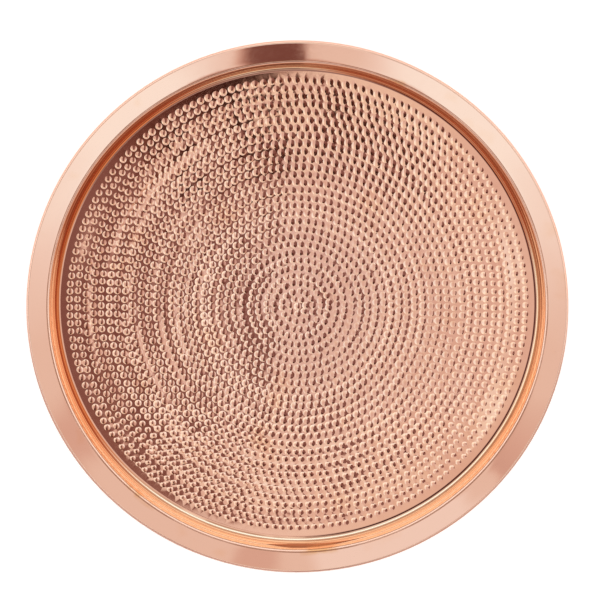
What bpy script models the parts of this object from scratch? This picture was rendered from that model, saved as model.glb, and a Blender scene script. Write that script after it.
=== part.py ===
"""Round serving tray: one copper sheet, spun to shape, its edge rolled over a steel wire.

Metres, +Z up. The origin is the centre of the flat base, on the surface the tray stands on.
"""
import math

import bmesh
import bpy

# Driving dimensions, in metres
TRAY_DIAMETER = 0.380     # over the rolled edge
SHEET = 0.0008            # thickness of the copper sheet
WELL_DEPTH = 0.0120       # from the lip's corner down to the floor, on the upper face
FLANGE_WIDTH = 0.0160     # from the lip's corner out to the rolled edge, in plan
BASE_FILLET = 0.0025      # bend between floor and wall, on the upper face
LIP_RADIUS = 0.0020       # bend between wall and flange, on the upper face
WIRE_DIAMETER = 0.0012    # stiffening wire inside the rolled edge
WIRE_CLEARANCE = 0.0003   # all round the wire
HEM_CLEARANCE = 0.0003    # from the end of the roll to the flange's underside

# Driving angles, in radians
WALL_LEAN = math.radians(20)     # wall off the vertical, opening upwards
FLANGE_RISE = math.radians(12)   # flange off the horizontal, rising outwards

# Facets
TURN_STEPS = 96           # round the tray's axis
BEND_STEPS = 4            # along each bend between floor, wall and flange
ROLL_STEPS = 12           # along the rolled edge
WIRE_SIDES = 8

SHARP_EDGE = math.radians(35)

# Angles of the wall's and the flange's upward normals in the profile, from the outward direction
QUARTER_TURN = math.pi / 2
WALL_NORMAL = math.pi - WALL_LEAN
FLANGE_NORMAL = QUARTER_TURN + FLANGE_RISE

# Outer radius of the rolled edge: wire, clearance and one thickness of sheet
ROLL_RADIUS = WIRE_DIAMETER / 2 + WIRE_CLEARANCE + SHEET


def start_empty():
    """Remove the objects that the file opens with."""
    for old in list(bpy.data.objects):
        bpy.data.objects.remove(old)


def metal(name, colour, roughness):
    """A plain metal with the given linear colour."""
    material = bpy.data.materials.new(name)
    material.use_nodes = True
    shader = material.node_tree.nodes["Principled BSDF"]
    shader.inputs["Base Color"].default_value = (*colour, 1)
    shader.inputs["Metallic"].default_value = 1
    shader.inputs["Roughness"].default_value = roughness
    return material


def arc(centre, radius, start, end, steps, normal_side=1):
    """Points along an arc of the upper face, each with the face's normal there.

    normal_side is 1 where the normal points away from the centre, and -1 where it points to it.
    """
    samples = []
    for step in range(steps + 1):
        angle = start + (end - start) * step / steps
        ray = (math.cos(angle), math.sin(angle))
        point = (centre[0] + radius * ray[0], centre[1] + radius * ray[1])
        samples.append((point, (normal_side * ray[0], normal_side * ray[1])))
    return samples


def lip_corner():
    """Where the wall and the flange would meet on the upper face without the bend."""
    return (TRAY_DIAMETER / 2 - FLANGE_WIDTH, SHEET + WELL_DEPTH)


def roll_centre():
    """Centre of the rolled edge, which the flange's upper face meets at a tangent."""
    corner = lip_corner()
    radius = TRAY_DIAMETER / 2 - ROLL_RADIUS
    flange_height = corner[1] + (radius - corner[0]) * math.tan(FLANGE_RISE)
    return (radius, flange_height - ROLL_RADIUS / math.cos(FLANGE_RISE))


def base_bend():
    """The bend from the floor up into the wall."""
    wall_foot = lip_corner()[0] - WELL_DEPTH * math.tan(WALL_LEAN)
    wall_turn = QUARTER_TURN - WALL_LEAN
    floor_end = wall_foot - BASE_FILLET * math.tan(wall_turn / 2)
    centre = (floor_end, SHEET + BASE_FILLET)
    return arc(centre, BASE_FILLET, -QUARTER_TURN, -WALL_LEAN, BEND_STEPS, normal_side=-1)


def lip_bend():
    """The bend from the wall out into the flange."""
    corner = lip_corner()
    reach = LIP_RADIUS * math.tan((WALL_NORMAL - FLANGE_NORMAL) / 2)
    flange_start = (corner[0] + reach * math.cos(FLANGE_RISE), corner[1] + reach * math.sin(FLANGE_RISE))
    centre = (
        flange_start[0] - LIP_RADIUS * math.cos(FLANGE_NORMAL),
        flange_start[1] - LIP_RADIUS * math.sin(FLANGE_NORMAL),
    )
    return arc(centre, LIP_RADIUS, WALL_NORMAL, FLANGE_NORMAL, BEND_STEPS)


def rolled_edge():
    """The edge rolled down and under, until its end comes up to the flange's underside."""
    end_height = ROLL_RADIUS - SHEET - HEM_CLEARANCE
    wrap = 2 * math.pi - math.acos(end_height / ROLL_RADIUS)
    return arc(roll_centre(), ROLL_RADIUS, FLANGE_NORMAL, FLANGE_NORMAL - wrap, ROLL_STEPS)


def sheet_outline():
    """Outline of the sheet: its upper face from the floor's edge outwards, then its underside back."""
    upper = base_bend() + lip_bend() + rolled_edge()
    outline = [point for point, normal in upper]
    for point, normal in reversed(upper):
        outline.append((point[0] - SHEET * normal[0], point[1] - SHEET * normal[1]))
    return outline


def wire_outline():
    """Round section of the wire, at the centre of the rolled edge."""
    section = arc(roll_centre(), WIRE_DIAMETER / 2, 0, 2 * math.pi, WIRE_SIDES)
    return [point for point, normal in section[:-1]]


def turned(name, outline, is_ring, material, parent):
    """Turn an outline of (radius, height) points about Z into one named object.

    A ring's outline is closed. Any other outline is open towards the axis, and the two round
    openings that its ends leave are filled flat.
    """
    shape = bmesh.new()
    corners = [shape.verts.new((radius, 0, height)) for radius, height in outline]
    edges = [shape.edges.new(pair) for pair in zip(corners, corners[1:])]
    if is_ring:
        edges.append(shape.edges.new((corners[-1], corners[0])))
    bmesh.ops.spin(
        shape,
        geom=corners + edges,
        axis=(0, 0, 1),
        cent=(0, 0, 0),
        angle=2 * math.pi,
        steps=TURN_STEPS,
        use_merge=True,
    )
    open_edges = [edge for edge in shape.edges if edge.is_boundary]
    bmesh.ops.holes_fill(shape, edges=open_edges)
    bmesh.ops.recalc_face_normals(shape, faces=shape.faces)
    mesh = bpy.data.meshes.new(name)
    shape.to_mesh(mesh)
    shape.free()
    mesh.materials.append(material)
    mesh.shade_smooth()
    mesh.set_sharp_from_angle(angle=SHARP_EDGE)
    turned_piece = bpy.data.objects.new(name, mesh)
    turned_piece.parent = parent
    bpy.context.scene.collection.objects.link(turned_piece)
    return turned_piece


def build_tray():
    """The copper sheet and the wire in its edge, under one empty at the centre of the base."""
    start_empty()
    base_centre = bpy.data.objects.new("round_serving_tray", None)
    bpy.context.scene.collection.objects.link(base_centre)
    copper = metal("polished_copper", (0.95, 0.60, 0.46), 0.18)
    steel = metal("galvanised_wire", (0.56, 0.57, 0.58), 0.38)
    turned("tray_pan", sheet_outline(), False, copper, base_centre)
    turned("rim_wire", wire_outline(), True, steel, base_centre)


build_tray()
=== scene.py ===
"""Looks of the round serving tray: hammered, polished copper, seen from nearly straight above."""
import math

import bpy
import numpy as np
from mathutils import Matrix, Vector
from mathutils.geometry import delaunay_2d_cdt


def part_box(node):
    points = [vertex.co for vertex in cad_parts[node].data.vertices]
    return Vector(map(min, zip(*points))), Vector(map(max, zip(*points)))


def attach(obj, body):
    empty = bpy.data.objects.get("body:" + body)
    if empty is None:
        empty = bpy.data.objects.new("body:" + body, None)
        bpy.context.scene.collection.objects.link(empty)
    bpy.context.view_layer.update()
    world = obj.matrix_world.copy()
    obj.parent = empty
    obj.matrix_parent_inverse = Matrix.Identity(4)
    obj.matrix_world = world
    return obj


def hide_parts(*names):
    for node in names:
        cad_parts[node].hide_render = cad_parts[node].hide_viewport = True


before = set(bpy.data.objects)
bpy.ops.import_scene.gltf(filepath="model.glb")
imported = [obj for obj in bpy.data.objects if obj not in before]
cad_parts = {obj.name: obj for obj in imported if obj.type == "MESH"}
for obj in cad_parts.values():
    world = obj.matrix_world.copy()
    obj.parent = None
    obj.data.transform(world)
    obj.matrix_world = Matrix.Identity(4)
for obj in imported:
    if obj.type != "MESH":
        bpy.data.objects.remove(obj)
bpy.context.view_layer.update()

PAN_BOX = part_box("tray_pan")

QUARTER_TURN = math.pi / 2
FULL_TURN = 2 * math.pi

# The solid's own sizes, in metres and radians
TRAY_RADIUS = PAN_BOX[1][0]
SHEET = 0.0008
WELL_DEPTH = 0.0120
FLANGE_WIDTH = 0.0160
BASE_FILLET = 0.0025
LIP_RADIUS = 0.0020
ROLL_RADIUS = 0.0017
HEM_CLEARANCE = 0.0003
WALL_LEAN = math.radians(20)
FLANGE_RISE = math.radians(12)
WALL_NORMAL = math.pi - WALL_LEAN
FLANGE_NORMAL = QUARTER_TURN + FLANGE_RISE
LIP_CORNER = (TRAY_RADIUS - FLANGE_WIDTH, SHEET + WELL_DEPTH)
WALL_FOOT = LIP_CORNER[0] - WELL_DEPTH * math.tan(WALL_LEAN)
FLOOR_RADIUS = WALL_FOOT - BASE_FILLET * math.tan((QUARTER_TURN - WALL_LEAN) / 2)

# The floor sweeps gently up just inside the wall's foot
SWEEP_RADIUS = 0.0135
SWEEP_WIDTH = 0.0017
SWEEP_ANGLE = math.asin(SWEEP_WIDTH / SWEEP_RADIUS)
SWEEP_GAIN = SWEEP_RADIUS - BASE_FILLET
SWEEP_RISE = SWEEP_GAIN * (1 - math.cos(SWEEP_ANGLE))
FLOOR_EDGE = FLOOR_RADIUS + SWEEP_RISE * math.tan(WALL_LEAN) - SWEEP_GAIN * math.sin(SWEEP_ANGLE)

# Rings that the spinning tool left in the wall, fading out at its foot, and the groove beside the lip
WALL_BEAD = 0.00005
WALL_BEAD_PITCH = 0.0044
WALL_LINE = 0.000012
WALL_LINE_PITCH = 0.0017
BEAD_FADE = 0.001
GROOVE_WIDTH = 0.0009
GROOVE_DEPTH = 0.00022

# The flange isn't quite true: slight waves round it, as (waves, phase)
FLANGE_WAVE = 0.00006
FLANGE_ORDERS = ((7, 0.4), (11, 3.3), (16, 2.5))

# The floor isn't quite level: long waves, fading out towards the wall
WAVES = 10
WAVE_LENGTH_RANGE = (0.035, 0.11)
WAVE_SLOPE = 0.0030
WAVE_FADE = 0.02

# Hammer marks: rows round the centre, each mark a shallow cup left by a ball-faced hammer
MARK_ROWS = 29
ROW_PITCH = 0.00553
CENTRE_SPACING = 0.0049
INNER_SPACING = 0.00535
OUTER_SPACING = 0.00572
INNER_ROWS = (0.035, 0.06)
OUTER_ROWS = (0.09, 0.12)
MARK_RADIUS = 0.00270
HAMMER_BALL = 0.0270
RIM_GAP = 0.00003

# How much the rows and the marks in them scatter, the innermost rows more than the others
ROW_WANDER = 0.00012
ROW_SIZE_SPREAD = 0.02
ROW_BALL_SPREAD = 0.10
ROW_TILT = 0.003
ROW_LEAN = 0.22
MARK_WANDER_ALONG = 0.04
MARK_WANDER_OUT = 0.00014
MARK_SIZE_SPREAD = 0.035
MARK_BALL_SPREAD = 0.05
MARK_TILT = 0.002
MARK_LEAN = 0.10
LOOSE_ROWS = 5
LOOSE_GAIN = 1.2

# Steps from row to row, up or down, where one course of blows ended and the next began, as (radius, rise)
STEPS = ((0.0266, 0.000016), (0.0765, 0.000009), (0.1155, -0.000016), (0.150, -0.000009))
# Each row also rises and falls a little on its way round, mostly on the -X side
TERRACE = 0.00002
TERRACE_WAVES = 4
TERRACE_REST = 0.2
TERRACE_X = (-0.06, -0.11)

# The blows aren't alike all over the floor. A range says where a habit starts and where it is full.
# Slanting, deeper blows in one part of the outer rows, drawn out along Y
SLANT_CENTRE = (0.055, 0.11)
SLANT_REACH = 0.062
SLANT_ROWS = (0.085, 0.11)
SLANT_LEAN = (-0.5, 0.25)
SLANT_DEEPER = 0.3
SLANT_STRETCH = 0.55
SLANT_GROWTH = 0.03
# Elsewhere on the +Y side the blows lean the other way, and its last rows are flatter and drawn out too
FAR_Y = (0.02, 0.05)
FAR_LEAN = (0, -0.35)
FAR_EDGE_Y = (0.08, 0.115)
FAR_EDGE_X = (-0.05, 0)
FAR_EDGE_END_X = (0.11, 0.06)
FLATTER_FAR = 0.4
FAR_STRETCH = 0.4
# On the -Y side they lean back, steeper along Y, from a smaller hammer face
NEAR_Y = (-0.06, -0.11)
NEAR_LEAN = (-0.3, 0.55)
NEAR_STEEPER = 0.5
NARROW_NEAR = 0.28
# A wider hammer face on the +X side, narrower again in its last rows, which begin earlier towards +Y
WIDE_FACE = 0.70
WIDE_X = (-0.06, 0.04)
NARROW_RIGHT = 0.58
NARROW_X = (0.11, 0.16)
NARROW_EARLIER = 0.03
NARROW_EARLIER_Y = (-0.02, 0.06)
# Smaller marks towards three sides of the floor and at its centre
SMALLER_LEFT = 0.10
SMALLER_LEFT_X = (-0.085, -0.12)
SMALLER_RIGHT = 0.12
SMALLER_RIGHT_X = (0.07, 0.12)
SMALLER_NEAR = 0.14
SMALLER_NEAR_Y = (-0.07, -0.12)
SMALLER_CENTRE = 0.10
SMALLER_CENTRE_ROWS = (0.06, 0.035)

# Fineness of the visual mesh
TURN_STEPS = 160
SWEEP_STEPS = 6
BEND_STEPS = 9
WALL_STEPS = 40
GROOVE_STEPS = 8
FLANGE_STEPS = 5
ROLL_STEPS = 22
BASE_STEPS = 12
RIM_POINTS = 14
MID_POINTS = 7
MID_SHARE = 0.55

# Small amounts: a step to take slopes over, points that count as one, and what keeps divisions sound
SHORT = 0.00001
SAME_POINT = 1e-7
LEAST_FACING = 1e-9
LEAST_UP = 1e-12

# Materials of the pan, as (name, roughness): worked upper face, underside, lands between the marks
COPPERS = (("hammered_copper", 0.045), ("spun_copper", 0.22), ("land_copper", 0.05))
WORKED, UNDERSIDE, LAND = range(3)

rng = np.random.default_rng(7)


def ease(value, low, high):
    """From nought at low to one at high, with level ends."""
    share = np.clip((value - low) / (high - low), 0, 1)
    return share * share * (3 - 2 * share)


def unit(vectors):
    """The vectors, each one long."""
    return vectors / np.linalg.norm(vectors, axis=1)[:, None]


def arc(centre, radius, start, end, steps, side=1):
    """Points of the profile along an arc, each with the upper face's normal, and that normal again."""
    samples = []
    for angle in np.linspace(start, end, steps + 1):
        ray = np.array((math.cos(angle), math.sin(angle)))
        samples.append((np.array(centre) + radius * ray, side * ray, side * ray))
    return samples


def straight(first, last, lengths, rise):
    """Points at these lengths along a straight, raised by a function of the length.

    Each comes with the raised face's normal and the straight's own."""
    start, square, _ = first
    along = (last[0] - start) / np.linalg.norm(last[0] - start)
    samples = []
    for length in lengths:
        lean = (rise(length + SHORT) - rise(length - SHORT)) / (2 * SHORT)
        normal = (square - lean * along) / math.hypot(1, lean)
        samples.append((start + along * length + square * rise(length), normal, square))
    return samples


def wall_beads(length):
    """Soft rings left in the wall by the spinning tool."""
    broad = WALL_BEAD * math.sin(FULL_TURN * length / WALL_BEAD_PITCH)
    fine = WALL_LINE * math.sin(FULL_TURN * length / WALL_LINE_PITCH)
    return (broad + fine) * math.sin(QUARTER_TURN * min(length, BEAD_FADE) / BEAD_FADE)


def lip_groove(length):
    """A fine groove where the flange meets the lip."""
    off = abs(length - GROOVE_WIDTH / 2) / (GROOVE_WIDTH / 2)
    return -GROOVE_DEPTH * math.cos(QUARTER_TURN * min(off, 1)) ** 2


def upper_profile():
    """The sheet's upper face from the floor's edge to the end of the roll, each point as in straight."""
    sweep_centre = (FLOOR_EDGE, SHEET + SWEEP_RADIUS)
    sweep_end = SWEEP_ANGLE - QUARTER_TURN
    sweep = arc(sweep_centre, SWEEP_RADIUS, -QUARTER_TURN, sweep_end, SWEEP_STEPS, side=-1)
    end, normal, _ = sweep[-1]
    base = arc(end + BASE_FILLET * normal, BASE_FILLET, sweep_end, -WALL_LEAN, BEND_STEPS, side=-1)
    reach = LIP_RADIUS * math.tan((WALL_NORMAL - FLANGE_NORMAL) / 2)
    lip_centre = (
        LIP_CORNER[0] + reach * math.cos(FLANGE_RISE) - LIP_RADIUS * math.cos(FLANGE_NORMAL),
        LIP_CORNER[1] + reach * math.sin(FLANGE_RISE) - LIP_RADIUS * math.sin(FLANGE_NORMAL),
    )
    lip = arc(lip_centre, LIP_RADIUS, WALL_NORMAL, FLANGE_NORMAL, BEND_STEPS)
    roll_out = TRAY_RADIUS - ROLL_RADIUS
    flange_height = LIP_CORNER[1] + (roll_out - LIP_CORNER[0]) * math.tan(FLANGE_RISE)
    roll_centre = (roll_out, flange_height - ROLL_RADIUS / math.cos(FLANGE_RISE))
    wrap = FULL_TURN - math.acos((ROLL_RADIUS - SHEET - HEM_CLEARANCE) / ROLL_RADIUS)
    roll = arc(roll_centre, ROLL_RADIUS, FLANGE_NORMAL, FLANGE_NORMAL - wrap, ROLL_STEPS)
    wall_length = np.linalg.norm(lip[0][0] - base[-1][0])
    flange_length = np.linalg.norm(roll[0][0] - lip[-1][0])
    wall = straight(base[-1], lip[0], np.linspace(0, wall_length, WALL_STEPS + 1)[1:-1], wall_beads)
    grooved = np.linspace(0, GROOVE_WIDTH, GROOVE_STEPS + 1)[1:]
    plain = np.linspace(GROOVE_WIDTH, flange_length, FLANGE_STEPS + 1)[1:-1]
    flange = straight(lip[-1], roll[0], np.concatenate((grooved, plain)), lip_groove)
    return sweep + base[1:] + wall + lip + flange + roll


def flange_waves(radius, angle):
    """How far the flange lies above its true plane, growing from the lip to the edge."""
    share = ease(radius, LIP_CORNER[0], TRAY_RADIUS)
    return share * sum(FLANGE_WAVE * math.sin(order * angle + phase) for order, phase in FLANGE_ORDERS)


def blow(spot, out):
    """Size, hammer face, bends along X and Y and lean of a blow at this spot, which lies so far out."""
    x, y = spot
    off = np.hypot(*(spot - SLANT_CENTRE)) / SLANT_REACH
    slant = math.exp(-off * off) * ease(out, *SLANT_ROWS)
    far = (1 - slant) * ease(y, *FAR_Y)
    far_edge = ease(y, *FAR_EDGE_Y) * ease(x, *FAR_EDGE_X) * ease(x, *FAR_EDGE_END_X)
    near = ease(y, *NEAR_Y)

    face = 1 + WIDE_FACE * ease(x, *WIDE_X)
    face -= NARROW_RIGHT * ease(x + NARROW_EARLIER * ease(y, *NARROW_EARLIER_Y), *NARROW_X)
    face *= 1 - NARROW_NEAR * near
    face *= 1 + FLATTER_FAR * far_edge - SLANT_DEEPER * slant

    size = 1 + SLANT_GROWTH * slant
    size -= SMALLER_LEFT * ease(x, *SMALLER_LEFT_X)
    size -= SMALLER_RIGHT * ease(x, *SMALLER_RIGHT_X) * (1 - slant)
    size -= SMALLER_NEAR * ease(y, *SMALLER_NEAR_Y)
    size -= SMALLER_CENTRE * ease(out, *SMALLER_CENTRE_ROWS)

    steep = 1 - SLANT_STRETCH * slant - FAR_STRETCH * far_edge * (1 - slant) + NEAR_STEEPER * near
    lean = slant * np.array(SLANT_LEAN) + far * np.array(FAR_LEAN) + near * np.array(NEAR_LEAN)
    return size, face, np.array((1, steep)), lean


class Marks:
    """The hammer marks: centre, rim radius, bends along X and Y, tilt, lean and height of each."""

    def __init__(self):
        marks = [(np.zeros(2), MARK_RADIUS, np.ones(2) / HAMMER_BALL, np.zeros(2), np.zeros(2), 0)]
        for row in range(1, MARK_ROWS + 1):
            marks += self.row(row)
        self.centres, self.radii, self.bends, self.tilts, self.leans, self.lifts = map(np.array, zip(*marks))

    def row(self, row):
        """The marks of one row round the centre."""
        row_radius = row * ROW_PITCH + rng.normal(0, ROW_WANDER)
        spacing = CENTRE_SPACING + (INNER_SPACING - CENTRE_SPACING) * ease(row_radius, *INNER_ROWS)
        spacing += (OUTER_SPACING - INNER_SPACING) * ease(row_radius, *OUTER_ROWS)
        count = round(FULL_TURN * row_radius / spacing)
        start = rng.uniform(0, FULL_TURN)
        row_size = rng.normal(1, ROW_SIZE_SPREAD)
        row_ball = HAMMER_BALL * math.exp(rng.normal(0, ROW_BALL_SPREAD))
        loose = 1 + LOOSE_GAIN * math.exp(-(row / LOOSE_ROWS) ** 2)
        row_tilt = rng.normal(0, ROW_TILT * loose)
        row_lean = rng.normal(0, ROW_LEAN)
        step = sum(rise for place, rise in STEPS if row_radius > place)
        swells = rng.normal(0, TERRACE, TERRACE_WAVES) * (row < MARK_ROWS)
        phases = rng.uniform(0, FULL_TURN, TERRACE_WAVES)
        orders = np.arange(1, TERRACE_WAVES + 1)
        marks = []
        for place in range(count):
            angle = start + FULL_TURN * (place + rng.normal(0, MARK_WANDER_ALONG * loose)) / count
            out = row_radius + rng.normal(0, MARK_WANDER_OUT * loose)
            ray = np.array((math.cos(angle), math.sin(angle)))
            spot = out * ray
            size, face, bend, lean = blow(spot, out)
            level = TERRACE_REST + (1 - TERRACE_REST) * ease(spot[0], *TERRACE_X)
            marks.append((
                spot,
                MARK_RADIUS * size * row_size * rng.normal(1, MARK_SIZE_SPREAD),
                bend / (row_ball * face * math.exp(rng.normal(0, MARK_BALL_SPREAD))),
                row_tilt * ray + rng.normal(0, MARK_TILT * loose, 2),
                row_lean * ray + lean + rng.normal(0, MARK_LEAN, 2),
                step + level * (swells * np.cos(orders * angle + phases)).sum(),
            ))
        return marks

    def bowls(self, owners, off):
        """Height of each owner's cup so far off its centre, as an upright blow leaves it."""
        bends = self.bends[owners]
        return ((off ** 2 * bends).sum(1) - self.radii[owners] ** 2 * bends.mean(1)) / 2

    def skews(self, owners, off):
        """How many times as deep a leaning blow makes the cup there."""
        return 1 + (off * self.leans[owners]).sum(1) / self.radii[owners]

    def heights(self, owners, points):
        """Height of each point in its owner's cup, over the floor's own height."""
        off = points - self.centres[owners]
        tilted = (off * self.tilts[owners]).sum(1)
        return self.bowls(owners, off) * self.skews(owners, off) + tilted + self.lifts[owners]

    def slopes(self, owners, points):
        """Slopes along X and Y of each point in its owner's cup."""
        off = points - self.centres[owners]
        bowl = self.bowls(owners, off)[:, None]
        skew = self.skews(owners, off)[:, None]
        radii = self.radii[owners][:, None]
        return off * self.bends[owners] * skew + bowl * self.leans[owners] / radii + self.tilts[owners]

    def outline(self, index):
        """Rim of one mark, cut back where a neighbour's cup takes over, and the neighbour there or -1."""
        centre = self.centres[index]
        radius = self.radii[index]
        apart = np.hypot(*(self.centres - centre).T)
        angles = rng.uniform(0, FULL_TURN) + np.arange(RIM_POINTS) * FULL_TURN / RIM_POINTS
        rays = np.stack((np.cos(angles), np.sin(angles)), 1)
        reach = np.full(RIM_POINTS, radius)
        cutter = np.full(RIM_POINTS, -1)
        for other in np.flatnonzero((apart > 0) & (apart < radius + self.radii)):
            facing = np.maximum(rays @ (self.centres[other] - centre), LEAST_FACING)
            shared = (apart[other] ** 2 + radius ** 2 - self.radii[other] ** 2) / (2 * facing) - RIM_GAP
            cutter[shared < reach] = other
            reach = np.minimum(reach, shared)
        return centre + reach[:, None] * rays, cutter


MARKS = Marks()
WAVE_LENGTHS = rng.uniform(*WAVE_LENGTH_RANGE, WAVES)
WAVE_TURNS = rng.uniform(0, FULL_TURN, WAVES)
WAVE_STARTS = rng.uniform(0, FULL_TURN, WAVES)


def floor_waves(points):
    """The floor's slight unevenness, fading out towards the wall."""
    total = np.zeros(len(points))
    for length, turn, start in zip(WAVE_LENGTHS, WAVE_TURNS, WAVE_STARTS):
        along = points[:, 0] * math.cos(turn) + points[:, 1] * math.sin(turn)
        total += WAVE_SLOPE * length / FULL_TURN * np.sin(FULL_TURN * along / length + start)
    return total * ease(np.hypot(points[:, 0], points[:, 1]), FLOOR_EDGE, FLOOR_EDGE - WAVE_FADE)


def hammered_floor():
    """The floor's upper face: points, heights, triangles, each triangle's mark or -1, and the outer ring."""
    flat = []
    owners = []
    heights = []
    rims = []
    total = 0
    for index, centre in enumerate(MARKS.centres):
        outline, cutter = MARKS.outline(index)
        middle = centre + (outline[::RIM_POINTS // MID_POINTS] - centre) * MID_SHARE
        batch = np.concatenate((centre[None], middle, outline))
        mine = np.full(len(batch), index)
        height = MARKS.heights(mine, batch)
        cut = np.flatnonzero(cutter >= 0)
        last = len(batch) - RIM_POINTS
        height[last + cut] = (height[last + cut] + MARKS.heights(cutter[cut], outline[cut])) / 2
        flat.append(batch)
        owners.append(mine)
        heights.append(height)
        first = total + last
        rims += [(first + k, first + (k + 1) % RIM_POINTS) for k in range(RIM_POINTS)]
        total += len(batch)
    angles = np.arange(TURN_STEPS) * FULL_TURN / TURN_STEPS
    ring = FLOOR_EDGE * np.stack((np.cos(angles), np.sin(angles)), 1)
    flat = np.concatenate(flat + [ring])
    owners = np.concatenate(owners + [np.full(TURN_STEPS, -1)])
    heights = np.concatenate(heights + [np.zeros(TURN_STEPS)])

    made = delaunay_2d_cdt([Vector(p) for p in flat], rims, [], 0, SAME_POINT, True)
    points = np.array([tuple(p) for p in made[0]])
    faces = np.array(made[2])
    source = np.array([sources[0] if sources else -1 for sources in made[3]])
    ring_numbers = {number: k for k, number in enumerate(source)}
    edge = [ring_numbers[len(flat) - TURN_STEPS + k] for k in range(TURN_STEPS)]
    corner_marks = owners[source][faces]
    in_one_mark = (corner_marks == corner_marks[:, :1]).all(1)
    marks = np.where(in_one_mark, corner_marks[:, 0], -1)
    return points, heights[source] + floor_waves(points) + SHEET, faces, marks, edge


def pan_outline():
    """The profile from the floor's edge over the roll and back under the base, as (point, normal).

    The number of points on the upper face comes with it."""
    upper = upper_profile()
    outline = [(point, normal) for point, normal, square in upper[1:]]
    outline += [(point - SHEET * square, -square) for point, normal, square in reversed(upper)]
    base_radius = outline[-1][0][0]
    down = np.array((0, -1))
    shares = np.linspace(1, 0, BASE_STEPS + 1)[1:-1]
    outline += [(np.array((base_radius * share, 0)), down) for share in shares]
    return outline, len(upper) - 1


def pan_mesh():
    """The whole sheet as one closed mesh, with exact normals in the hammer marks."""
    floor, heights, triangles, marks, ring = hammered_floor()
    points = [(*p, h) for p, h in zip(floor, heights)]
    faces = [tuple(int(corner) for corner in face) for face in triangles]
    kinds = [LAND if mark < 0 else WORKED for mark in marks]

    outline, upper_count = pan_outline()
    normals = [(0, 0, 1)] * len(points)
    for number, ((radius, height), (lean, rise)) in enumerate(outline):
        first = len(points)
        for step in range(TURN_STEPS):
            angle = FULL_TURN * step / TURN_STEPS
            cosine = math.cos(angle)
            sine = math.sin(angle)
            lift = flange_waves(radius, angle)
            out_slope = (flange_waves(radius + SHORT, angle) - lift) / SHORT
            side_slope = (flange_waves(radius, angle + SHORT) - lift) / (SHORT * radius)
            out = lean - rise * out_slope
            side = -rise * side_slope
            points.append((radius * cosine, radius * sine, height + lift))
            normals.append((out * cosine - side * sine, out * sine + side * cosine, rise))
        new_ring = list(range(first, first + TURN_STEPS))
        for k in range(TURN_STEPS):
            after = (k + 1) % TURN_STEPS
            faces.append((new_ring[k], new_ring[after], ring[after], ring[k]))
            kinds.append(WORKED if number < upper_count else UNDERSIDE)
        ring = new_ring
    points.append((0, 0, 0))
    normals.append((0, 0, -1))
    for k in range(TURN_STEPS):
        faces.append((len(points) - 1, ring[k], ring[(k + 1) % TURN_STEPS]))
        kinds.append(UNDERSIDE)

    mesh = bpy.data.meshes.new("tray_pan_hammered")
    mesh.from_pydata(points, [], faces)
    mesh.polygons.foreach_set("material_index", kinds)
    mesh.shade_smooth()
    mesh.update()
    mesh.normals_split_custom_set(corner_normals(mesh, np.array(normals), floor, heights, triangles, marks))
    return mesh


def corner_normals(mesh, normals, floor, heights, triangles, marks):
    """Normals of the face corners: the cup's in the marks, averages on the lands, else the profile's."""
    corners = np.empty(len(mesh.loops), int)
    mesh.loops.foreach_get("vertex_index", corners)
    result = normals[corners]

    a, b, c = (np.column_stack((floor, heights))[triangles[:, k]] for k in range(3))
    across = np.cross(b - a, c - a)
    between = marks < 0
    land = np.zeros((len(floor), 3))
    for k in range(3):
        np.add.at(land, triangles[between, k], across[between])
    land[:, 2] += LEAST_UP
    land = unit(land)

    loose = triangles.ravel()
    slopes = MARKS.slopes(np.repeat(marks, 3), floor[loose])
    cup = unit(np.column_stack((-slopes, np.ones(len(slopes)))))
    result[:len(loose)] = np.where(np.repeat(between, 3)[:, None], land[loose], cup)
    return result


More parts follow.
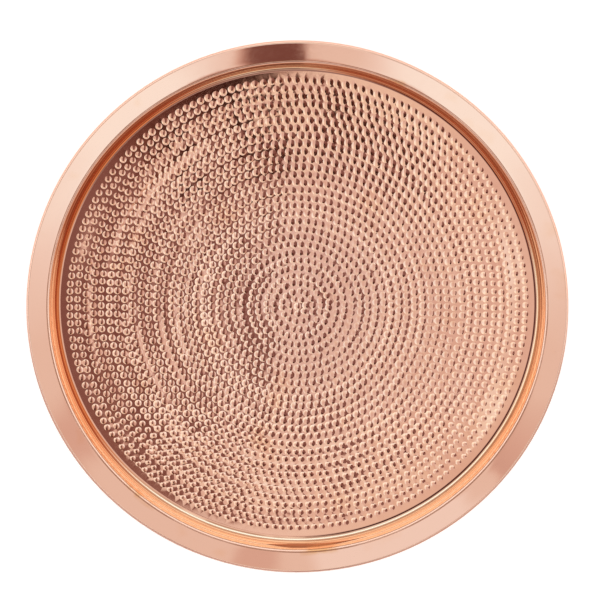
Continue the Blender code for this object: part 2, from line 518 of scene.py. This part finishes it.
class Nodes:
    """A short way to add and join the nodes of one tree.

    A mix node's numbers go in at 2 and 3 and come out at 0, its colours at 6 and 7 and at 2."""

    def __init__(self, tree):
        self.tree = tree
        tree.nodes.clear()

    def add(self, kind, settings=None, **inputs):
        """A new node. An input is named, or numbered as in i0, and gets a value or a link."""
        node = self.tree.nodes.new(kind)
        for name, value in (settings or {}).items():
            setattr(node, name, value)
        for name, value in inputs.items():
            key = int(name[1:]) if name[1:].isdigit() else name.replace("_", " ")
            self.feed(node.inputs[key], value)
        return node

    def feed(self, socket, value):
        """Links a socket to another, or sets its value."""
        if isinstance(value, bpy.types.NodeSocket):
            self.tree.links.new(value, socket)
        else:
            socket.default_value = value

    def math(self, operation, first, second=0.0):
        """One sum, product or other operation on numbers."""
        return self.add("ShaderNodeMath", {"operation": operation}, i0=first, i1=second).outputs[0]

    def length(self, first, second):
        """Length of the vector with these two parts."""
        squares = self.math("MULTIPLY", first, first), self.math("MULTIPLY", second, second)
        return self.math("SQRT", self.math("ADD", *squares))

    def off(self, value, place):
        """Distance of a value from a place."""
        return self.math("ABSOLUTE", self.math("SUBTRACT", value, place))

    def span(self, value, places, levels, smooth=True):
        """Runs from one level to the other as the value goes from place to place, and stays there beyond."""
        kind = "SMOOTHSTEP" if smooth else "LINEAR"
        node = self.add("ShaderNodeMapRange", {"interpolation_type": kind}, Value=value)
        node.inputs["From Min"].default_value, node.inputs["From Max"].default_value = places
        node.inputs["To Min"].default_value, node.inputs["To Max"].default_value = levels
        return node.outputs[0]

    def slope(self, value, places, levels):
        """The same as span, but straight from end to end."""
        return self.span(value, places, levels, smooth=False)

    def patch(self, u, v, centre, half, soft):
        """One inside a soft-edged rectangle of the surroundings, nought outside."""
        sides = []
        for value, middle, reach in zip((u, v), centre, half):
            places = (reach - soft / 2, reach + soft / 2)
            sides.append(self.span(self.off(value, middle), places, (1, 0)))
        return self.math("MULTIPLY", *sides)

    def noise(self, place, scale, detail=2.0):
        """Cloudy noise in space."""
        return self.add("ShaderNodeTexNoise", Vector=place, Scale=scale, Detail=detail).outputs["Fac"]

    def stripes(self, value, scale, detail):
        """Noise along one value."""
        settings = {"noise_dimensions": "1D"}
        return self.add("ShaderNodeTexNoise", settings, W=value, Scale=scale, Detail=detail).outputs["Fac"]

    def blend(self, share, first, second):
        """A number between two numbers."""
        return self.add("ShaderNodeMix", i0=share, i2=first, i3=second).outputs[0]

    def mix(self, share, first, second, kind="MIX"):
        """A colour between two colours, or the first times a share of the second."""
        node = self.add("ShaderNodeMix", {"data_type": "RGBA", "blend_type": kind}, i0=share)
        for socket, value in ((node.inputs[6], first), (node.inputs[7], second)):
            self.feed(socket, (*value, 1) if isinstance(value, tuple) else value)
        return node.outputs[2]

    def ramp(self, value, stops):
        """A colour ramp over (place, colour) stops."""
        node = self.add("ShaderNodeValToRGB", Fac=value)
        elements = node.color_ramp.elements
        while len(elements) < len(stops):
            elements.new(0.5)
        for element, (place, colour) in zip(elements, stops):
            element.position = place
            element.color = (*colour, 1)
        return node.outputs[0]


# The surroundings that the copper mirrors, by u = x / z and v = y / z of the direction.
# A run gives two places, then the level at each of them.
SKY_STRENGTH = 2.0
LEAST_Z = 0.05

# A bright panel overhead
PANEL_PATCH = (0, -0.215), (0.22, 0.22), 0.05
PANEL_MIDDLE_U = (-0.01, 0.06), (0.80, 0.72)
PANEL_RIGHT_U = (0.05, 0.125), (0.72, 1.10)
PANEL_LEFT_SHARE_U = (-0.10, -0.09), (1, 0)
PANEL_LEFT_U = (-0.22, -0.09), (1.02, 0.42)
PANEL_FALL_U = (0.10, 0.18), (1, 0.84)
PANEL_NEAR_V = (-0.40, -0.23), (1.5, 1)
PANEL_FAR_V = (-0.17, -0.12), (1, 1.18)

# Round it, with patches as (centre, half sizes, softness)
AROUND_V = (-0.44, -0.16), (1.02, 0.83)
SHADE_U = (0.06, 0.19), (0.18, 0)
SHADE_V = (-0.5, -0.54), (0, 1)
LIGHT_PATCH = (-0.135, 0.13), (0.115, 0.10), 0.03
LIGHT_LEVEL = 0.92
DIM_PATCHES = (
    ((0.055, 0.17), (0.028, 0.06), 0.02),
    ((0.31, -0.02), (0.06, 0.045), 0.05),
)
DIM_LEVEL = 0.72
SIDE_PATCH = (-0.31, -0.02), (0.06, 0.06), 0.02
SIDE_V = (-0.08, 0.03), (0.82, 0.66)

# Lower down: dim towards -Y, bright towards +Y, in bands
LOW_SHARE = (0.615, 0.66), (0, 1)
LOW_TURN = (-0.8, -0.1), (0.46, 1.25)
BAND_SCALE = 22.0
BAND_DETAIL = 1.0
BAND_GAIN = (0.3, 0.7), (0.6, 1.4)

# A dark hood on the -Y side
HOOD_LEFT_U = (-0.018, -0.010), (0, 1)
HOOD_RIGHT_U = (0.06, 0.10), (1, 0)
HOOD_EDGE_V = (-0.566, -0.556), (1, 0)
HOOD_LOW = (0.62, 0.65), (0, 1)
HOOD_U = (0.02, 0.6), (0.19, 0.45)

# A stand in front of the panel, grey, with a dark end that tapers off towards +Y
STAND_V = (-0.43, -0.37), (0, 1)
STAND_LEFT_U = (-0.109, -0.097), (0, 1)
STAND_RIGHT_U = (-0.005, 0.004), (1, 0)
STAND_RIGHT_V = (-0.255, -0.24), (-0.037, -0.010)
STAND_WIDER_V = (-0.17, -0.155), (0, 0.008)
STAND_TAPER_V = (-0.108, -0.05), (0, 0.062)
STAND_END_V = (-0.160, -0.140), (0, 1)
STAND_GREY_U = (-0.09, -0.02), (0.19, 0.28)
STAND_DARK_U = (-0.055, -0.02), (0.16, 0.032)

# Paler surroundings near the horizon, dimming down to it
HORIZON_Z = (0.49, 0.56), (1, 0)
HORIZON_LEVEL_Z = (0.08, 0.46), (0.55, 0.95)

# Colour for each share of the strength: reddish where dark, bluish in the middle, white where bright
SKY_COLOURS = (
    (0.0, (0.004, 0.001, 0.0005)),
    (0.03, (0.03, 0.0105, 0.0085)),
    (0.095, (0.095, 0.043, 0.037)),
    (0.22, (0.22, 0.139, 0.123)),
    (0.36, (0.36, 0.288, 0.265)),
    (0.41, (0.41, 0.375, 0.355)),
    (0.46, (0.46, 0.475, 0.485)),
    (0.51, (0.51, 0.61, 0.65)),
    (1.0, (1.0, 1.0, 1.0)),
)
# The panel is cooler on the -X side and warmer at its two ends along Y
COOL_U = (-0.03, 0.08), (1, 0)
COOL_TINT = (1.02, 1.06, 1.15)
WARM_NEAR_V = (-0.27, -0.20), (1, 0)
WARM_FAR_V = (-0.155, -0.125), (0, 1)
WARM_TINT = (1, 0.96, 0.87)


def studio_sky():
    """A soft overhead panel with a dark stand in front of it, and a dark hood to one side."""
    world = bpy.data.worlds.new("studio")
    bpy.context.scene.world = world
    world.use_nodes = True
    n = Nodes(world.node_tree)
    direction = n.add("ShaderNodeTexCoord").outputs["Generated"]
    x, y, z = n.add("ShaderNodeSeparateXYZ", i0=direction).outputs
    above = n.math("MAXIMUM", z, LEAST_Z)
    u = n.math("DIVIDE", x, above)
    v = n.math("DIVIDE", y, above)
    reach = n.length(u, v)

    panel = n.math("MAXIMUM", n.slope(u, *PANEL_MIDDLE_U), n.slope(u, *PANEL_RIGHT_U))
    panel = n.blend(n.slope(u, *PANEL_LEFT_SHARE_U), panel, n.slope(u, *PANEL_LEFT_U))
    panel = n.math("MULTIPLY", panel, n.slope(v, *PANEL_NEAR_V))
    panel = n.math("MULTIPLY", panel, n.slope(u, *PANEL_FALL_U))
    panel = n.math("MULTIPLY", panel, n.slope(v, *PANEL_FAR_V))

    shade = n.math("MULTIPLY", n.span(n.math("ABSOLUTE", u), *SHADE_U), n.span(v, *SHADE_V))
    around = n.math("SUBTRACT", n.slope(v, *AROUND_V), shade)
    around = n.blend(n.patch(u, v, *LIGHT_PATCH), around, LIGHT_LEVEL)
    for dim_patch in DIM_PATCHES:
        around = n.blend(n.patch(u, v, *dim_patch), around, DIM_LEVEL)
    around = n.blend(n.patch(u, v, *SIDE_PATCH), around, n.slope(v, *SIDE_V))

    bands = n.slope(n.stripes(z, BAND_SCALE, BAND_DETAIL), *BAND_GAIN)
    low = n.math("MULTIPLY", n.span(n.math("DIVIDE", v, reach), *LOW_TURN), bands)
    around = n.blend(n.span(reach, *LOW_SHARE), around, low)
    overhead = n.patch(u, v, *PANEL_PATCH)
    level = n.blend(overhead, around, panel)

    hood = n.math("MULTIPLY", n.span(u, *HOOD_LEFT_U), n.span(v, *HOOD_EDGE_V))
    hood_end = n.math("MAXIMUM", n.span(u, *HOOD_RIGHT_U), n.slope(reach, *HOOD_LOW))
    level = n.blend(n.math("MULTIPLY", hood, hood_end), level, n.slope(u, *HOOD_U))

    taper = n.slope(v, *STAND_TAPER_V)
    narrowing = n.math("SUBTRACT", taper, n.slope(v, *STAND_WIDER_V))
    right = n.math("SUBTRACT", n.slope(v, *STAND_RIGHT_V), narrowing)
    stand = n.span(n.math("SUBTRACT", u, right), *STAND_RIGHT_U)
    stand = n.math("MULTIPLY", stand, n.span(n.math("SUBTRACT", u, taper), *STAND_LEFT_U))
    stand = n.math("MULTIPLY", stand, n.span(v, *STAND_V))
    end = n.span(v, *STAND_END_V)
    grey = n.blend(end, n.slope(u, *STAND_GREY_U), n.slope(u, *STAND_DARK_U))
    level = n.blend(stand, level, grey)

    level = n.blend(n.span(z, *HORIZON_Z), level, n.slope(z, *HORIZON_LEVEL_Z))
    colour = n.ramp(n.math("DIVIDE", level, SKY_STRENGTH), SKY_COLOURS)
    cool = n.math("MULTIPLY", overhead, n.slope(u, *COOL_U))
    cool = n.math("MULTIPLY", cool, n.math("SUBTRACT", 1, end))
    colour = n.mix(cool, colour, COOL_TINT, "MULTIPLY")
    warm = n.math("MAXIMUM", n.slope(v, *WARM_NEAR_V), n.slope(v, *WARM_FAR_V))
    colour = n.mix(n.math("MULTIPLY", overhead, warm), colour, WARM_TINT, "MULTIPLY")
    shine = n.add("ShaderNodeBackground", Color=colour, Strength=SKY_STRENGTH)
    n.add("ShaderNodeOutputWorld", Surface=shine.outputs[0])


# Copper tones, painted reflections and painted shade among them
BRIGHT = (0.95, 0.615, 0.485)
WORN = (0.95, 0.573, 0.423)
TARNISHED = (0.92, 0.52, 0.34)
STAINED = (0.80, 0.40, 0.17)
# Painted reflections on the wall, deeper and paler
WALL_REFLECTION_DARK = (0.78, 0.41, 0.21)
WALL_REFLECTION_DARK_LEFT = (0.68, 0.29, 0.12)
WALL_REFLECTION_DARK_NEAR = (0.92, 0.61, 0.38)
WALL_REFLECTION_LIGHT = (0.97, 0.68, 0.44)
WALL_REFLECTION_LIGHT_NEAR = (0.98, 0.82, 0.62)
# Painted shade at the wall's foot, and a painted dark reflection in a band over it
FOOT_SHADE_TONE = (0.50, 0.24, 0.15)
CORNER_SHADE_TONE = (0.30, 0.13, 0.09)
FOOT_BAND_REFLECTION_TONE = (0.60, 0.15, 0.05)
# A painted dark reflection on the wall's -Y side
STREAK_REFLECTION_TONE = (0.32, 0.11, 0.04)
# Painted shade in the lip's groove and along the edge on the -Y side
GROOVE_SHADE_TONE = (0.42, 0.19, 0.11)
EDGE_SHADE_TONE = (0.42, 0.22, 0.15)

# Where they lie, as runs over x, y, the radius, the distance from a radius, or a noise
LIP = LIP_CORNER[0]
LEFT_SIDE_X = (-0.11, -0.03), (1, 0)
NEAR_SIDE_Y = (-0.15, -0.08), (1, 0)
CLOUD_SCALE = 22.0
CLOUD_DETAIL = 3.0
TARNISH = (0.30, 0.42), (0.6, 0)
WORN_FLOOR = (0.03, 0.15), (0, 1)
WORN_WALL = (FLOOR_RADIUS, LIP), (1, 0.4)
WALL_START = (FLOOR_RADIUS, FLOOR_RADIUS + 0.0015), (0, 1)
WALL_END = (LIP - 0.0005, LIP + 0.0005), (1, 0)
# Stripes of painted reflection on the wall
LINE_SCALE = 520.0
LINE_DETAIL = 3.0
WALL_REFLECTION_STRIPES = (0.40, 0.60), (0, 1)
# Painted shade lines in the corner at the wall's foot, and the band of painted dark reflection over them
FOOT_RADIUS = FLOOR_RADIUS + 0.0002
FOOT_WIDTH = (0.0002, 0.0007), (0.8, 0)
FOOT_CLOUD = (0.42, 0.56), (0, 1)
CORNER_RADIUS = FLOOR_EDGE + 0.0010
CORNER_WIDTH = (0.0004, 0.0009), (0.9, 0)
CORNER_X = (-0.01, 0.04), (0, 1)
CORNER_Y = (0.05, 0.10), (0, 1)
FOOT_BAND_START = (FLOOR_EDGE + 0.0009, FLOOR_EDGE + 0.0015), (0, 1)
FOOT_BAND_END = (FLOOR_RADIUS + 0.0020, FLOOR_RADIUS + 0.0030), (1, 0)
FOOT_BAND_X = (0.00, 0.04), (0, 0.8)
FOOT_BAND_Y = (0.02, 0.07), (0, 1)
# A painted dark reflection on the wall's -Y side
STREAK_RADIUS = 0.1722
STREAK_HALF = 0.0011
STREAK_LEAST_HALF = 0.00002
STREAK_LEFT_X = (-0.024, -0.004), (0, 1)
STREAK_RIGHT_X = (0.006, 0.050), (1, 0)
STREAK_WIDTH = (0.5, 1.2), (0.9, 0)
STAIN_RADIUS = LIP + 0.001
STAIN_WIDTH = (0.0005, 0.0035), (1, 0)
STAIN_SCALE = 60.0
STAIN_DETAIL = 4.0
STAIN_SHARE = 0.5
STAINS = (0.86, 0.98), (0, 0.9)
# Painted shade in the lip's groove, and along the tray's edge on the -Y side
GROOVE_RADIUS = LIP + 0.00152
GROOVE_LINE = (0.0002, 0.0006), (1, 0)
GROOVE_CLOUD = (0.38, 0.52), (0.35, 0.85)
EDGE_LINE = (TRAY_RADIUS - 0.0009, TRAY_RADIUS - 0.0003), (0, 1)
EDGE_Y = (-0.06, 0.02), (1, 0)
FINE_SCALE = 260.0
FINE_PLACES = (0.3, 0.7)
ROUGHNESS_SPREAD = 0.25


def copper(name, roughness):
    """Polished copper: deeper in tone and lined on the wall by painted reflections, with painted shade at
    the wall's foot, in the lip's groove and along the -Y edge, faint tarnish and a few stains.
    """
    material = bpy.data.materials.new(name)
    material.use_nodes = True
    n = Nodes(material.node_tree)
    place = n.add("ShaderNodeTexCoord").outputs["Object"]
    x, y, z = n.add("ShaderNodeSeparateXYZ", i0=place).outputs
    out = n.length(x, y)
    cloud = n.noise(place, CLOUD_SCALE, CLOUD_DETAIL)
    left_side = n.span(x, *LEFT_SIDE_X)
    near_side = n.span(y, *NEAR_SIDE_Y)

    worn = n.math("MULTIPLY", n.slope(out, *WORN_FLOOR), n.slope(out, *WORN_WALL))
    colour = n.mix(worn, BRIGHT, WORN)
    colour = n.mix(n.span(cloud, *TARNISH), colour, TARNISHED)

    # The wall's painted reflections: deeper towards -X, paler towards -Y, in stripes along the lines of the
    # spinning tool
    deep = n.mix(left_side, WALL_REFLECTION_DARK, WALL_REFLECTION_DARK_LEFT)
    deep = n.mix(near_side, deep, WALL_REFLECTION_DARK_NEAR)
    pale = n.mix(near_side, WALL_REFLECTION_LIGHT, WALL_REFLECTION_LIGHT_NEAR)
    wall = n.mix(n.span(n.stripes(z, LINE_SCALE, LINE_DETAIL), *WALL_REFLECTION_STRIPES), deep, pale)
    on_wall = n.math("MULTIPLY", n.span(out, *WALL_START), n.span(out, *WALL_END))
    colour = n.mix(on_wall, colour, wall)

    # Painted shade as dark lines in the corner between the floor and the wall, and a painted dark reflection
    # as a deeper band over them
    foot_shade = n.math("MULTIPLY", n.span(n.off(out, FOOT_RADIUS), *FOOT_WIDTH), n.span(cloud, *FOOT_CLOUD))
    colour = n.mix(foot_shade, colour, FOOT_SHADE_TONE)
    corner_side = n.math("MAXIMUM", n.span(x, *CORNER_X), n.span(y, *CORNER_Y))
    corner = n.math("MULTIPLY", n.span(n.off(out, CORNER_RADIUS), *CORNER_WIDTH), corner_side)
    colour = n.mix(corner, colour, CORNER_SHADE_TONE)
    far_right = n.math("MULTIPLY", n.span(x, *FOOT_BAND_X), n.span(y, *FOOT_BAND_Y))
    reflected_band = n.math("MULTIPLY", n.span(out, *FOOT_BAND_START), n.span(out, *FOOT_BAND_END))
    reflected_band = n.math("MULTIPLY", reflected_band, n.math("MAXIMUM", left_side, far_right))
    reflected_band = n.math("MULTIPLY", reflected_band, n.math("SUBTRACT", 1, near_side))
    colour = n.mix(reflected_band, colour, FOOT_BAND_REFLECTION_TONE)

    # A painted dark reflection: a lens-shaped streak on the wall's -Y side
    half = n.math("MULTIPLY", n.slope(x, *STREAK_LEFT_X), n.slope(x, *STREAK_RIGHT_X))
    half = n.math("MAXIMUM", n.math("MULTIPLY", half, STREAK_HALF), STREAK_LEAST_HALF)
    reflected_streak = n.math("DIVIDE", n.off(out, STREAK_RADIUS), half)
    reflected_streak = n.math("MULTIPLY", n.span(reflected_streak, *STREAK_WIDTH), near_side)
    colour = n.mix(reflected_streak, colour, STREAK_REFLECTION_TONE)

    # Stains beside the lip; painted shade in the groove there and along the tray's edge on the -Y side
    stain = n.math("MULTIPLY", n.noise(place, STAIN_SCALE, STAIN_DETAIL), STAIN_SHARE)
    stain = n.span(n.math("ADD", stain, cloud), *STAINS)
    near_lip = n.slope(n.off(out, STAIN_RADIUS), *STAIN_WIDTH)
    colour = n.mix(n.math("MULTIPLY", stain, near_lip), colour, STAINED)
    groove_shade = n.span(n.off(out, GROOVE_RADIUS), *GROOVE_LINE)
    groove_shade = n.math("MULTIPLY", groove_shade, n.slope(cloud, *GROOVE_CLOUD))
    colour = n.mix(groove_shade, colour, GROOVE_SHADE_TONE)
    edge = n.math("MULTIPLY", n.span(out, *EDGE_LINE), n.span(y, *EDGE_Y))
    colour = n.mix(edge, colour, EDGE_SHADE_TONE)

    roughnesses = (roughness * (1 - ROUGHNESS_SPREAD), roughness * (1 + ROUGHNESS_SPREAD))
    rough = n.slope(n.noise(place, FINE_SCALE), FINE_PLACES, roughnesses)
    shader = n.add("ShaderNodeBsdfPrincipled", Base_Color=colour, Roughness=rough, Metallic=1.0)
    n.add("ShaderNodeOutputMaterial", Surface=shader.outputs[0])
    return material


STEEL_DARK = (0.45, 0.46, 0.47)
STEEL_LIGHT = (0.62, 0.63, 0.64)
STEEL_SCALE = 900.0
STEEL_ROUGHNESS = 0.4


def steel_wire():
    """Dull drawn steel for the wire inside the edge."""
    material = bpy.data.materials.new("steel_wire")
    material.use_nodes = True
    n = Nodes(material.node_tree)
    place = n.add("ShaderNodeTexCoord").outputs["Object"]
    colour = n.mix(n.noise(place, STEEL_SCALE), STEEL_DARK, STEEL_LIGHT)
    shader = n.add("ShaderNodeBsdfPrincipled", Base_Color=colour, Roughness=STEEL_ROUGHNESS, Metallic=1.0)
    n.add("ShaderNodeOutputMaterial", Surface=shader.outputs[0])
    return material


STAGE_HALF = 8.0
STAGE_HEIGHT = -0.0002
STAGE_COLOUR = (0.8, 0.8, 0.8, 1)
STAGE_GLOW_COLOUR = (1, 1, 1, 1)
STAGE_GLOW = 0.55


def stage_floor():
    """A wide white floor that keeps the tray's shadow."""
    signs = ((-1, -1), (1, -1), (1, 1), (-1, 1))
    corners = [(STAGE_HALF * x, STAGE_HALF * y, STAGE_HEIGHT) for x, y in signs]
    mesh = bpy.data.meshes.new("floor")
    mesh.from_pydata(corners, [], [(0, 1, 2, 3)])
    floor = bpy.data.objects.new("floor", mesh)
    bpy.context.scene.collection.objects.link(floor)
    material = bpy.data.materials.new("white_floor")
    material.use_nodes = True
    n = Nodes(material.node_tree)
    rays = n.add("ShaderNodeLightPath").outputs
    seen = n.math("MAXIMUM", rays["Is Camera Ray"], rays["Is Glossy Ray"])
    seen = n.math("MAXIMUM", seen, rays["Is Transmission Ray"])
    diffuse = n.add("ShaderNodeBsdfDiffuse", Color=STAGE_COLOUR).outputs[0]
    strength = n.math("MULTIPLY", seen, STAGE_GLOW)
    glow = n.add("ShaderNodeEmission", Color=STAGE_GLOW_COLOUR, Strength=strength).outputs[0]
    n.add("ShaderNodeOutputMaterial", Surface=n.add("ShaderNodeAddShader", i0=diffuse, i1=glow).outputs[0])
    mesh.materials.append(material)


# The photograph's view: the rim's ellipse gives the tilt, and its width the lens
VIEW_TILT = math.radians(10.94)
VIEW_DISTANCE = 2.5
VIEW_AIM = Vector((0.00184, 0.00725, 0.0145))
PHOTO_WIDTH_PX = 600
TRAY_WIDTH_PX = 542.8
SENSOR_WIDTH = 36
CLIP_START = 0.05


def photo_camera():
    """The camera, tilted towards +Y, with +Y up in the picture."""
    data = bpy.data.cameras.new("camera")
    data.sensor_width = SENSOR_WIDTH
    data.lens = SENSOR_WIDTH * TRAY_WIDTH_PX / PHOTO_WIDTH_PX * VIEW_DISTANCE / (2 * TRAY_RADIUS)
    data.clip_start = CLIP_START
    camera = bpy.data.objects.new("camera", data)
    back = Vector((0, math.sin(VIEW_TILT), math.cos(VIEW_TILT)))
    camera.location = VIEW_AIM + VIEW_DISTANCE * back
    camera.rotation_euler = (-VIEW_TILT, 0, 0)
    bpy.context.scene.collection.objects.link(camera)
    bpy.context.scene.camera = camera


bpy.context.scene.view_settings.view_transform = "Standard"

pan = bpy.data.objects.new("tray_pan_hammered", pan_mesh())
bpy.context.scene.collection.objects.link(pan)
for copper_name, copper_roughness in COPPERS:
    pan.data.materials.append(copper(copper_name, copper_roughness))
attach(pan, "root")
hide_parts("tray_pan")
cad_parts["rim_wire"].data.materials.clear()
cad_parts["rim_wire"].data.materials.append(steel_wire())

studio_sky()
stage_floor()
photo_camera()
